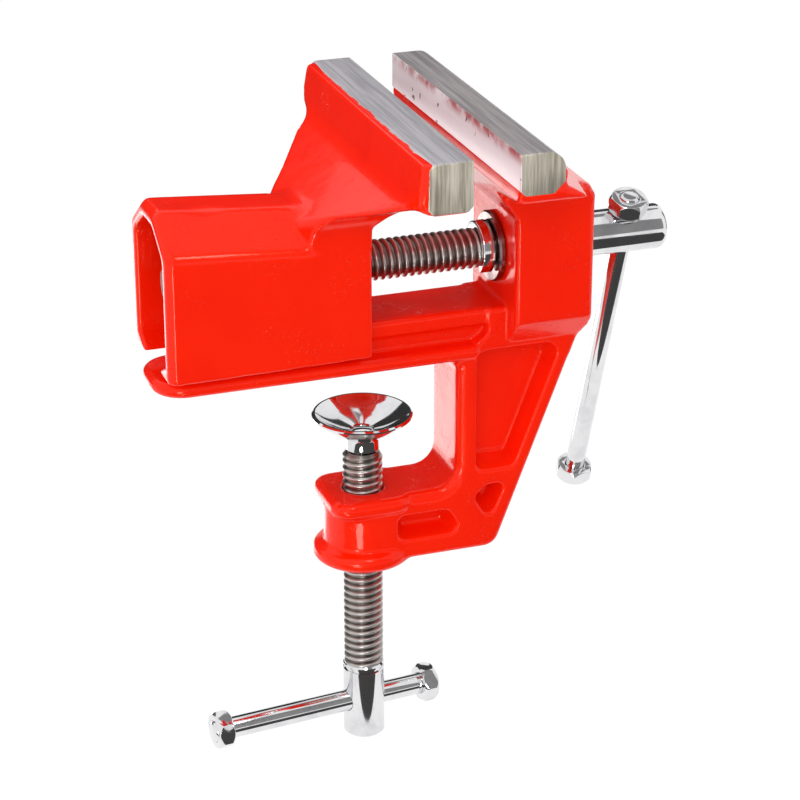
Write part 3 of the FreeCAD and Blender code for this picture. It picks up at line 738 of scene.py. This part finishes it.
def makeNut(name, nodeName, outerEnd, axis, turn, body):
    # a hexagon cut by a chamfered disc, with the bar's end showing in its bore
    thickness = handle["nutThickness"]
    across = handle["nutFlats"] / math.cos(math.radians(30))
    start = outerEnd - axis * thickness
    hexagon = bmesh.new()
    facing = axis.to_track_quat("Z", "Y").to_matrix().to_4x4()
    spin = facing @ Matrix.Rotation(math.radians(turn), 4, "Z")
    bmesh.ops.create_cone(hexagon, cap_ends=True, segments=6, radius1=across / 2, radius2=across / 2,
                          depth=thickness, matrix=Matrix.Translation(start + axis * thickness / 2) @ spin)
    chamfer = handle["nutChamfer"]
    inner = handle["nutFlats"] / 2 - 0.05 * mm
    outer = across / 2 + 0.1 * mm
    disc = turned([(0, 0), (0, inner), (chamfer, outer), (thickness - chamfer, outer),
                   (thickness, inner), (thickness, 0)], start, axis, 72)
    obj = newObject(name, hexagon)
    cutBy(obj, newObject("disc", disc), "INTERSECT")
    bore = handleDiameter(nodeName.split("_handle_")[0] + "_handle_bar") + handle["nutBoreClearance"]
    cutBy(obj, rodCutter(bore, start - axis * mm, outerEnd + axis * mm))
    bm = bmesh.new()
    bm.from_mesh(obj.data)
    bmesh.ops.dissolve_limit(bm, angle_limit=math.radians(0.5), verts=bm.verts, edges=bm.edges)
    softened(bm, handle["nutEdge"], 2, 20)
    bm.to_mesh(obj.data)
    bm.free()
    shadeByAngle(obj, 24)
    return dress(obj, body, [nodeName], chromePlate)


def jointAxis(jointName):
    return Vector(next(j for j in frame["joints"] if j["name"] == jointName)["axis"]).normalized()


leadTilt = jointAxis("lead_handle_slide")
clampTilt = jointAxis("clamp_handle_slide")


def makeHandle(body, tilt, ends):
    # ends: the nut's name, its node, which end it is on (-1 or 1) and its turn about the bar in degrees
    stem = body.split("_")[0]
    first, last = barLine(body + "_bar", tilt)
    makeHandleBar(stem + "HandleBar", body + "_bar", first, last, body)
    for name, nodeName, side, turn in ends:
        outerEnd = (last if side > 0 else first) - tilt * side * handle["dome"]
        makeNut(name, nodeName, outerEnd, tilt * side, turn, body)


makeHandle("lead_handle", leadTilt, (("leadHandleUpperNut", "lead_handle_upper_nut", 1, 12),
                                     ("leadHandleLowerNut", "lead_handle_lower_nut", -1, 20)))
makeHandle("clamp_handle", clampTilt, (("clampHandleLeftNut", "clamp_handle_left_nut", -1, 10),
                                       ("clampHandleRightNut", "clamp_handle_right_nut", 1, 25)))
print("handles made")


# lead screw, washer and ring

leadScrew = {
    "grooveDiameter": 6.3 * mm,
    "groovePlay": 0.05 * mm,
    "headDiameter": 9.1 * mm,
    "headStart": 16.3 * mm,  # from the washer's right face, through the block
    "headRound": 1.6 * mm,
    "lap": 0.4 * mm,  # the turned part reaches this far into the thread
}

washer = {
    "radius": 7.0 * mm,
    "edge": 0.3 * mm,
    "play": 0.06 * mm,
}

ring = {
    "outer": 5.3 * mm,
    "halfGap": 35,  # degrees each side of straight down
    "edge": 0.5 * mm,
}


def screwMiddle():
    # a point on the lead screw's axis, at x = 0
    return Vector((0, 0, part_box("thrust_washer")[0].z + washer["radius"]))


def makeLeadScrew():
    low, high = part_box("lead_screw")
    ringLow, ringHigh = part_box("retaining_ring")
    middle = screwMiddle()
    threadEnd = ringLow.x - leadScrew["groovePlay"]
    bm = makeThread(middle + alongX * low.x, alongX, threadEnd - low.x, "start")
    groove = leadScrew["grooveDiameter"] / 2
    grooveEnd = ringHigh.x + leadScrew["groovePlay"]
    shank = thread["outer"]
    headRadius = leadScrew["headDiameter"] / 2
    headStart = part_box("thrust_washer")[1].x + leadScrew["headStart"]
    rounding = leadScrew["headRound"]
    arc = [(high.x - rounding + rounding * math.sin(a), headRadius - rounding + rounding * math.cos(a))
           for a in (math.radians(15 * i) for i in range(7))]
    start = threadEnd - leadScrew["lap"]
    profile = [(start, 0), (start, groove), (grooveEnd, groove), (grooveEnd, shank), (headStart, shank),
               (headStart, headRadius)] + arc + [(high.x, 0)]
    head = newObject("head", turned(profile, middle, alongX, 72))
    bar = handleDiameter("lead_handle_bar")
    cross = Vector((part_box("lead_handle_bar")[0].x + bar / 2, 0, middle.z))
    reach = leadTilt * handle["cutReach"]
    cutBy(head, rodCutter(bar + handle["boreClearance"], cross - reach, cross + reach))
    obj = newObject("leadScrew", addShell(bm, head))
    shadeByAngle(obj, 38)
    steel = makeThreadSteel("leadThreadSteel", middle, (0, 1, 1), thread["outer"] - thread["litCrestBand"],
                            thread["root"])
    dress(obj, "lead_screw", ["lead_screw"], steel)
    chromeWhere(obj, lambda centre: centre.x > ringHigh.x + 1 * mm)


def makeWasher():
    low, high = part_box("thrust_washer")
    centre = Vector((0, 0, (low.z + high.z) / 2))
    outer = (high.z - low.z) / 2
    inner = thread["outer"] + washer["play"]
    edge = washer["edge"]
    profile = [(low.x, inner), (low.x, outer - edge), (low.x + edge, outer), (high.x - edge, outer),
               (high.x, outer - edge), (high.x, inner)]
    obj = newObject("thrustWasher", turned(profile, centre, alongX, 72, closed=True))
    shadeByAngle(obj, 30)
    return dress(obj, "base", ["thrust_washer"], washerPaintedRedReflection)


def makeRing():
    # the open side of the ring looks down
    low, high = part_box("retaining_ring")
    centre = screwMiddle()
    outer = ring["outer"]
    inner = leadScrew["grooveDiameter"] / 2
    bm = bmesh.new()
    start = math.radians(ring["halfGap"])
    side = Vector((0, math.sin(start), -math.cos(start)))
    corners = [(low.x, inner), (high.x, inner), (high.x, outer), (low.x, outer)]
    verts = [bm.verts.new(centre + alongX * along + side * radius) for along, radius in corners]
    face = bm.faces.new(verts)
    bmesh.ops.spin(bm, geom=[face] + face.edges[:] + verts, cent=centre, axis=alongX, dvec=(0, 0, 0),
                   angle=math.tau - 2 * start, steps=60, use_merge=False, use_duplicate=False)
    inOrder(bm)
    bmesh.ops.recalc_face_normals(bm, faces=bm.faces)
    obj = newObject("retainingRing", softened(bm, ring["edge"], 3, 40))
    shadeByAngle(obj, 35)
    return dress(obj, "lead_screw", ["retaining_ring"], chromePlate)


makeLeadScrew()
makeWasher()
makeRing()
print("lead screw made")


# clamp screw and pad

clampScrew = {
    "barrelDiameter": 8.4 * mm,
    "barrelLength": 16.3 * mm,
    "footBevel": 0.5 * mm,
    # down from the barrel's top edge: distance, and how deep below the barrel's surface
    "groove": ((1.5 * mm, 0), (1.3 * mm, 0.35 * mm), (0.9 * mm, 0.35 * mm), (0.7 * mm, 0),
               (0.3 * mm, 0)),
    "topBevel": 0.3 * mm,
    "lap": 0.6 * mm,
    "play": 0.3 * mm,
    "knobNeck": 1.7 * mm,
    "knobRadius": 2.3 * mm,
    "knobLength": 3.4 * mm,
}


def makeClampScrew():
    c = clampScrew
    origin = Vector((0, 0, 0))
    low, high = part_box("clamp_screw")
    barrelTop = low.z + c["barrelLength"]
    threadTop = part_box("clamp_pad")[0].z - c["play"]
    bm = makeThread(alongZ * (barrelTop - c["lap"]), alongZ, threadTop - barrelTop + c["lap"], "end")
    radius = c["barrelDiameter"] / 2
    groove = [(barrelTop - down, radius - depth) for down, depth in c["groove"]]
    foot = [(low.z, 0), (low.z, radius - c["footBevel"]), (low.z + c["footBevel"], radius)]
    top = [(barrelTop, radius - c["topBevel"]), (barrelTop, 0)]
    barrel = newObject("barrel", turned(foot + groove + top, origin, alongZ, 72))
    barLow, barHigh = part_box("clamp_handle_bar")
    centre = alongZ * (barLow.z + barHigh.z) / 2
    reach = clampTilt * handle["cutReach"]
    bore = handleDiameter("clamp_handle_bar") + handle["boreClearance"]
    cutBy(barrel, rodCutter(bore, centre - reach, centre + reach))
    neck, knob = c["knobNeck"], c["knobRadius"]
    profile = [(threadTop - 1 * mm, 0), (threadTop - 1 * mm, neck), (high.z - c["knobLength"], neck),
               (high.z - 2.8 * mm, knob), (high.z - 0.5 * mm, knob), (high.z - 0.1 * mm, knob * 0.7),
               (high.z, 0)]
    bm = addShell(bm, barrel)
    bm = addShell(bm, newObject("knobEnd", turned(profile, origin, alongZ, 48)))
    obj = newObject("clampScrew", bm)
    shadeByAngle(obj, 38)
    steel = makeThreadSteel("clampThreadSteel", origin, (1, 1, 0), thread["outer"] - thread["litCrestBand"],
                            thread["root"])
    dress(obj, "clamp_screw", ["clamp_screw"], steel)
    chromeWhere(obj, lambda centre: centre.z < barrelTop or centre.z > threadTop)


pad = {
    "rim": 0.7 * mm,
    "neckRadius": 3.4 * mm,
    "neckHeight": 2.6 * mm,
    "play": 0.08 * mm,
    "sagInside": 0.35 * mm,
    "sagBelow": 0.3 * mm,
    "steps": 96,
}


def makePad():
    low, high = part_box("clamp_pad")
    outer = high.x
    top = high.z
    foot = low.z + pad["neckHeight"]
    rim, neck = pad["rim"], pad["neckRadius"]
    bore = clampScrew["knobNeck"] + pad["play"]
    seat = clampScrew["knobRadius"] + pad["play"]
    # dish from the knob's seat out to the rolled rim, then back under it to the neck
    inner = [(low.z, bore), (low.z + 1.0 * mm, bore), (low.z + 1.6 * mm, seat), (foot + 1.7 * mm, seat)]
    dishLow = Vector((foot + 1.75 * mm, seat + 0.1 * mm))
    dishHigh = Vector((top - 0.1 * mm, outer - rim - 0.1 * mm))
    for i in range(1, 8):
        t = i / 8
        sag = pad["sagInside"] * math.sin(math.pi * t)
        point = dishLow.lerp(dishHigh, t)
        inner.append((point.x - sag, point.y + sag * 0.5))
    roll = [(top, outer - rim), (top, outer - rim * 0.45), (top - rim * 0.4, outer),
            (top - rim * 0.9, outer - rim * 0.1)]
    under = []
    for i in range(1, 7):
        t = i / 7
        point = Vector((top - rim * 1.1, outer - rim * 0.3)).lerp(Vector((foot, neck)), t)
        under.append((point.x - pad["sagBelow"] * math.sin(math.pi * t), point.y))
    under += [(foot, neck + 0.1 * mm), (foot - 0.4 * mm, neck), (low.z + 0.3 * mm, neck),
              (low.z, neck - 0.3 * mm)]
    section = inner + roll + under
    obj = newObject("clampPad", turned(section, Vector((0, 0, 0)), alongZ, pad["steps"], closed=True))
    shadeByAngle(obj, 35)
    return dress(obj, "clamp_pad", ["clamp_pad"], chromePlate)


makeClampScrew()
makePad()
print("clamp screw and pad made")


# stage: floor, world, lights, dark cards

stage = {
    "floorDrop": 24 * mm,
    "floorSize": 12.0,
    "worldFill": 0.80,
    "floorGlow": 0.86,
    "floorShown": (0.16, 0.16, 0.16, 1),  # takes the shadow, over the glow
    "floorBounce": (0.8, 0.8, 0.8, 1),
}


def lightPathSum(tree):
    path = addNode(tree, "ShaderNodeLightPath")
    seen = mathNode(tree, "ADD", path.outputs["Is Camera Ray"], path.outputs["Is Glossy Ray"])
    return mathNode(tree, "ADD", seen, path.outputs["Is Transmission Ray"], clamp=True)


def makeFloor():
    bm = bmesh.new()
    bmesh.ops.create_grid(bm, x_segments=1, y_segments=1, size=stage["floorSize"] / 2,
                          matrix=Matrix.Translation((0, 0, cadLow.z - stage["floorDrop"])))
    floor = newObject("floor", bm)
    # white to the camera and in reflections, plain to other light, clear from below
    material = bpy.data.materials.new("floorWhite")
    material.use_nodes = True
    tree = material.node_tree
    tree.nodes.clear()
    bounce = addNode(tree, "ShaderNodeBsdfDiffuse", None, {"Color": stage["floorBounce"]})
    shown = addNode(tree, "ShaderNodeBsdfDiffuse", None, {"Color": stage["floorShown"]})
    glow = addNode(tree, "ShaderNodeEmission", None, {"Strength": stage["floorGlow"]})
    both = addNode(tree, "ShaderNodeAddShader")
    mix = addNode(tree, "ShaderNodeMixShader")
    clear = addNode(tree, "ShaderNodeBsdfTransparent")
    side = addNode(tree, "ShaderNodeNewGeometry")
    fromBelow = addNode(tree, "ShaderNodeMixShader")
    output = addNode(tree, "ShaderNodeOutputMaterial")
    tree.links.new(shown.outputs[0], both.inputs[0])
    tree.links.new(glow.outputs[0], both.inputs[1])
    tree.links.new(lightPathSum(tree), mix.inputs[0])
    tree.links.new(bounce.outputs[0], mix.inputs[1])
    tree.links.new(both.outputs[0], mix.inputs[2])
    tree.links.new(side.outputs["Backfacing"], fromBelow.inputs[0])
    tree.links.new(mix.outputs[0], fromBelow.inputs[1])
    tree.links.new(clear.outputs[0], fromBelow.inputs[2])
    tree.links.new(fromBelow.outputs[0], output.inputs["Surface"])
    floor.data.materials.append(material)


def makeWorld():
    world = bpy.data.worlds.new("studio")
    bpy.context.scene.world = world
    world.use_nodes = True
    tree = world.node_tree
    background = tree.nodes["Background"]
    background.inputs["Color"].default_value = (1, 1, 1, 1)
    strength = mapped(tree, lightPathSum(tree), 0.0, 1.0, stage["worldFill"], 1.0)
    tree.links.new(strength, background.inputs["Strength"])


def aimedMatrix(place, target):
    turn = (Vector(target) - Vector(place)).to_track_quat("-Z", "Y")
    return Matrix.Translation(place) @ turn.to_matrix().to_4x4()


softboxes = {
    "boxLeft": {"place": (-0.60, -0.10, 0.42), "size": (0.20, 0.30), "power": 0.9},
    "boxTop": {"place": (0.02, 0.05, 0.72), "size": (0.26, 0.20), "power": 0.8},
    "boxFront": {"place": (-0.30, -0.62, 0.36), "size": (0.50, 0.40), "power": 1.5},
}

# small lamps that only reflections see: bright lines and patches on the glossy enamel
glints = {
    "glintShoulder": {"place": (-0.0035, -0.092, 0.085), "size": (0.030, 0.030), "power": 0.026,
                      "aim": (-0.03, -0.012, 0.03)},
    "glintEdges": {"place": (-0.11, -0.17, -0.06), "size": (0.035, 0.06), "power": 0.08},
    "glintRim": {"place": (-0.12, 0.30, -0.10), "size": (0.13, 0.13), "power": 0.12,
                 "aim": (-0.12, 0.30, 1.0)},
    "glintColumn": {"place": (-0.055, 0.175, -0.10), "size": (0.11, 0.11), "power": 0.085,
                    "aim": (-0.055, 0.175, 1.0)},
    "glintBoss": {"place": (-0.062, -0.125, -0.098), "size": (0.040, 0.034), "power": 0.055,
                  "aim": (-0.062, -0.125, 1.0)},
}

# cards that only reflections see, for contrast in the bright metal; tone runs from black to white
darkCards = {
    "cardFront": {"place": (0.30, -0.76, 0.65), "size": (1.00, 1.30), "tone": 0.34,
                  "aim": (0.30, 0.0, 0.65)},
    "cardLow": {"place": (0.04, -0.27, -0.10), "size": (0.46, 0.46), "tone": 0.06,
                "aim": (0.04, -0.27, 1.0)},
    "cardBack": {"place": (0.26, 0.62, 0.26), "size": (0.50, 0.40), "tone": 0.06},
    "cardBackLeft": {"place": (-0.22, 0.38, -0.01), "size": (0.46, 0.16), "tone": 0.04,
                     "aim": (0.0, 0.0, -0.01)},
    "cardFan": {"place": (-0.06, 0.15, 0.052), "size": (0.20, 0.11), "tone": 0.04,
                "aim": (-0.06, -1.0, 0.052)},
    "cardTop": {"place": (0.27, 0.26, 0.63), "size": (0.26, 0.26), "tone": 0.30},
    "cardRight": {"place": (0.50, 0.10, 0.06), "size": (0.12, 0.50), "tone": 0.02},
}


def makeLamp(name, s, target):
    data = bpy.data.lights.new(name, "AREA")
    data.shape = "RECTANGLE"
    data.size, data.size_y = s["size"]
    data.energy = s["power"]
    lamp = bpy.data.objects.new(name, data)
    bpy.context.scene.collection.objects.link(lamp)
    lamp.matrix_world = aimedMatrix(s["place"], s.get("aim", target))
    lamp.visible_camera = False
    return lamp


def makeLights():
    target = (cadLow + cadHigh) / 2
    for name, s in softboxes.items():
        lamp = makeLamp(name, s, target)
        lamp.visible_glossy = False
    for name, s in glints.items():
        lamp = makeLamp(name, s, target)
        lamp.visible_diffuse = False
        lamp.visible_transmission = False


def makeCards():
    target = (cadLow + cadHigh) / 2
    for name, s in darkCards.items():
        material, _, shader = newMaterial(name + "Felt", {"Roughness": 1.0, "Specular IOR Level": 0.0})
        shader.inputs["Base Color"].default_value = (s["tone"], s["tone"], s["tone"], 1)
        bm = bmesh.new()
        scale = Matrix.Diagonal((s["size"][0] / 2, s["size"][1] / 2, 1, 1))
        turn = aimedMatrix(s["place"], s.get("aim", target))
        bmesh.ops.create_grid(bm, x_segments=1, y_segments=1, size=1, matrix=turn @ scale)
        card = newObject(name, bm)
        card.data.materials.append(material)
        card.visible_camera = False
        card.visible_diffuse = False
        card.visible_shadow = False
        card.visible_transmission = False


makeFloor()
makeWorld()
makeLights()
makeCards()


# camera

camera = {
    "place": Vector((-154.66, -460.03, 201.63)) * mm,
    "right": Vector((0.94256, -0.33405, 0.0)),
    "up": Vector((0.13291, 0.37503, 0.91745)),
    "lens": 121.1,
    "shift": (-0.00275, -0.0001),
}


def makeCamera():
    data = bpy.data.cameras.new("camera")
    data.lens = camera["lens"]
    data.sensor_width = 36.0
    data.shift_x, data.shift_y = camera["shift"]
    data.clip_start, data.clip_end = 0.01, 20.0
    obj = bpy.data.objects.new("camera", data)
    bpy.context.scene.collection.objects.link(obj)
    right, up = camera["right"], camera["up"]
    back = right.cross(up)
    turn = Matrix((right, up, back)).transposed().to_4x4()
    obj.matrix_world = Matrix.Translation(camera["place"]) @ turn
    bpy.context.scene.camera = obj


makeCamera()
bpy.context.scene.view_settings.view_transform = "Standard"

print("stage and camera made")
